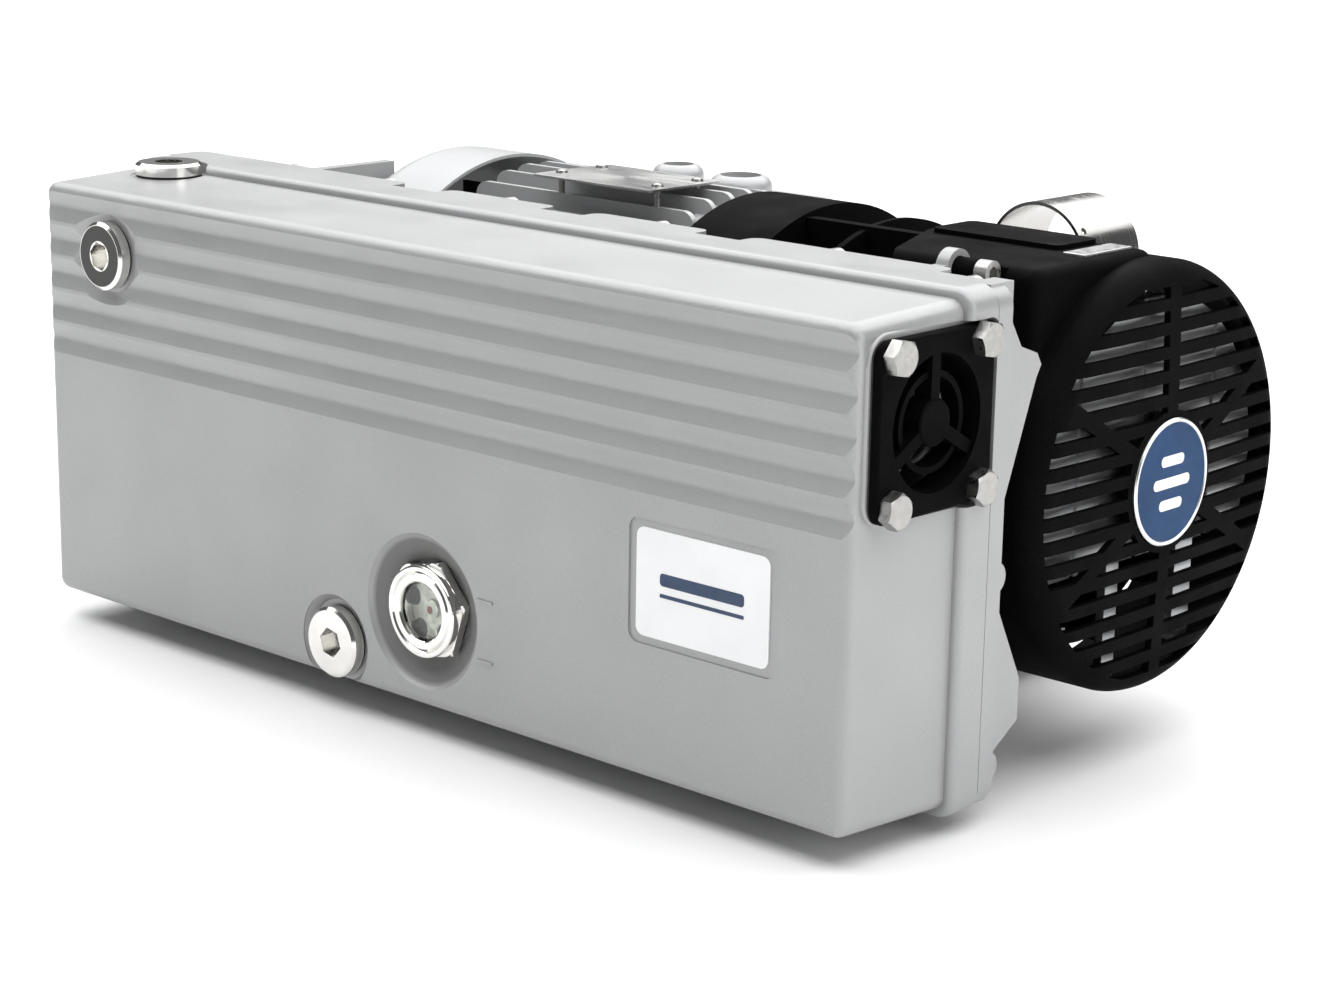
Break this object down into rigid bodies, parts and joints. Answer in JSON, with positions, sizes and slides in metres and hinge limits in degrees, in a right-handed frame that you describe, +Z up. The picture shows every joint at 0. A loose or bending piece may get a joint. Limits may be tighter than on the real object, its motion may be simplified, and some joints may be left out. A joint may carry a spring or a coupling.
{
  "type": "rotary vane vacuum pump",
  "caption": "Oil-lubricated rotary vane vacuum pump: a long ribbed separator casing in front, the vane pump, coupling and finned electric motor in line behind it, with round fan cowls.",
  "frame": {"origin": "middle of the two front feet, on the floor", "axes": "+X along the shaft and the casing towards the cooling fan, +Y from the casing front to the pump behind it, +Z up"},
  "size_m": [0.513, 0.3075, 0.2295],
  "materials": {
    "cast_silver": "satin",
    "motor_grey": "satin",
    "cast_iron_grey": "satin",
    "housing_alloy": "satin",
    "black_cover": "matte",
    "black_plastic": "matte",
    "bright_plug": "polished",
    "zinc_steel": "satin",
    "plain_steel": "satin",
    "tee_steel": "polished",
    "plate_steel": "satin",
    "label_white": "gloss",
    "badge_blue": "gloss",
    "clear_glass": "gloss",
    "reflector": "satin",
    "seal_rubber": "matte",
    "gasket_sheet": "matte",
    "spider_elastomer": "matte",
    "filter_media": "matte",
    "float_plastic": "matte",
    "bearing_bronze": "satin",
    "vane_composite": "matte",
    "cooler_alloy": "satin",
    "copper_winding": "satin"
  },
  "bodies": {
    "housing": {"separator_casing": "cast_silver", "back_plate": "cast_silver", "motor_frame": "motor_grey", "motor_fan_cowl": "motor_grey", "terminal_box": "motor_grey", "motor_end_shield": "motor_grey", "pump_cylinder": "cast_iron_grey", "end_cover_motor_side": "cast_iron_grey", "end_cover_fan_side": "cast_iron_grey", "motor_lantern": "cast_iron_grey", "inlet_housing": "housing_alloy", "exhaust_cover": "black_cover", "fan_cowl": "black_plastic", "air_shroud": "black_plastic", "filler_plug": "bright_plug", "level_plug": "bright_plug", "drain_plug": "bright_plug", "sight_glass_ring": "bright_plug", "exhaust_bolts": "zinc_steel", "casing_bolts": "zinc_steel", "end_cover_screws": "zinc_steel", "lantern_bolts": "zinc_steel", "nameplate_studs": "zinc_steel", "shroud_screw": "zinc_steel", "oil_baffle": "plain_steel", "float_bracket": "plain_steel", "exhaust_valve_seat": "plain_steel", "filter_spring": "plain_steel", "inlet_valve_spring": "plain_steel", "inlet_screen": "plain_steel", "cowl_clip": "plain_steel", "motor_bearings": "plain_steel", "inlet_tee": "tee_steel", "motor_nameplate": "plate_steel", "casing_label": "label_white", "badge": "badge_blue", "sight_glass_lens": "clear_glass", "sight_glass_reflector": "reflector", "port_seals": "seal_rubber", "shaft_seals": "seal_rubber", "rubber_feet": "seal_rubber", "casing_gasket": "gasket_sheet", "exhaust_gasket": "gasket_sheet", "exhaust_filter": "filter_media", "rotor_bushes": "bearing_bronze", "oil_cooler": "cooler_alloy", "stator": "copper_winding"},
    "rotor_group": {"pump_rotor": "cast_iron_grey", "coupling_hub_pump": "plain_steel", "coupling_hub_motor": "plain_steel", "coupling_spider": "spider_elastomer", "motor_rotor": "plain_steel", "cooling_fan": "black_plastic", "motor_fan": "black_plastic"},
    "vane_1_body": {"vane_1": "vane_composite"},
    "vane_2_body": {"vane_2": "vane_composite"},
    "vane_3_body": {"vane_3": "vane_composite"},
    "inlet_valve_body": {"inlet_valve": "seal_rubber"},
    "float_body": {"oil_float": "float_plastic"},
    "reed_body": {"exhaust_reed": "plain_steel"}
  },
  "joints": [
    {"name": "rotor_spin", "type": "hinge", "parent": "housing", "child": "rotor_group", "pos_m": [0.1475, 0.159, 0.122], "axis": [1, 0, 0], "continuous": true},
    {"name": "vane_1_slide", "type": "slide", "parent": "rotor_group", "child": "vane_1_body", "axis": [0, -1, 0], "range_m": [0, 0.006]},
    {"name": "vane_2_slide", "type": "slide", "parent": "rotor_group", "child": "vane_2_body", "axis": [0, 0.5, -0.866], "range_m": [0, 0.0007]},
    {"name": "vane_3_slide", "type": "slide", "parent": "rotor_group", "child": "vane_3_body", "axis": [0, 0.5, 0.866], "range_m": [0, 0.0007]},
    {"name": "inlet_valve_lift", "type": "slide", "parent": "housing", "child": "inlet_valve_body", "axis": [0, 0, -1], "range_m": [0, 0.003], "stiffness_N_per_m": 60, "springref_m": -0.005, "deforming": ["inlet_valve_spring"]},
    {"name": "float_swing", "type": "hinge", "parent": "housing", "child": "float_body", "pos_m": [-0.1515, 0.004, 0.072], "axis": [0, -1, 0], "range_deg": [0, 30]},
    {"name": "reed_lift", "type": "hinge", "parent": "housing", "child": "reed_body", "pos_m": [0.1475, 0.09145, 0.125], "axis": [1, 0, 0], "range_deg": [0, 20], "stiffness_Nm_per_rad": 0.02, "springref_deg": -2.86}
  ]
}
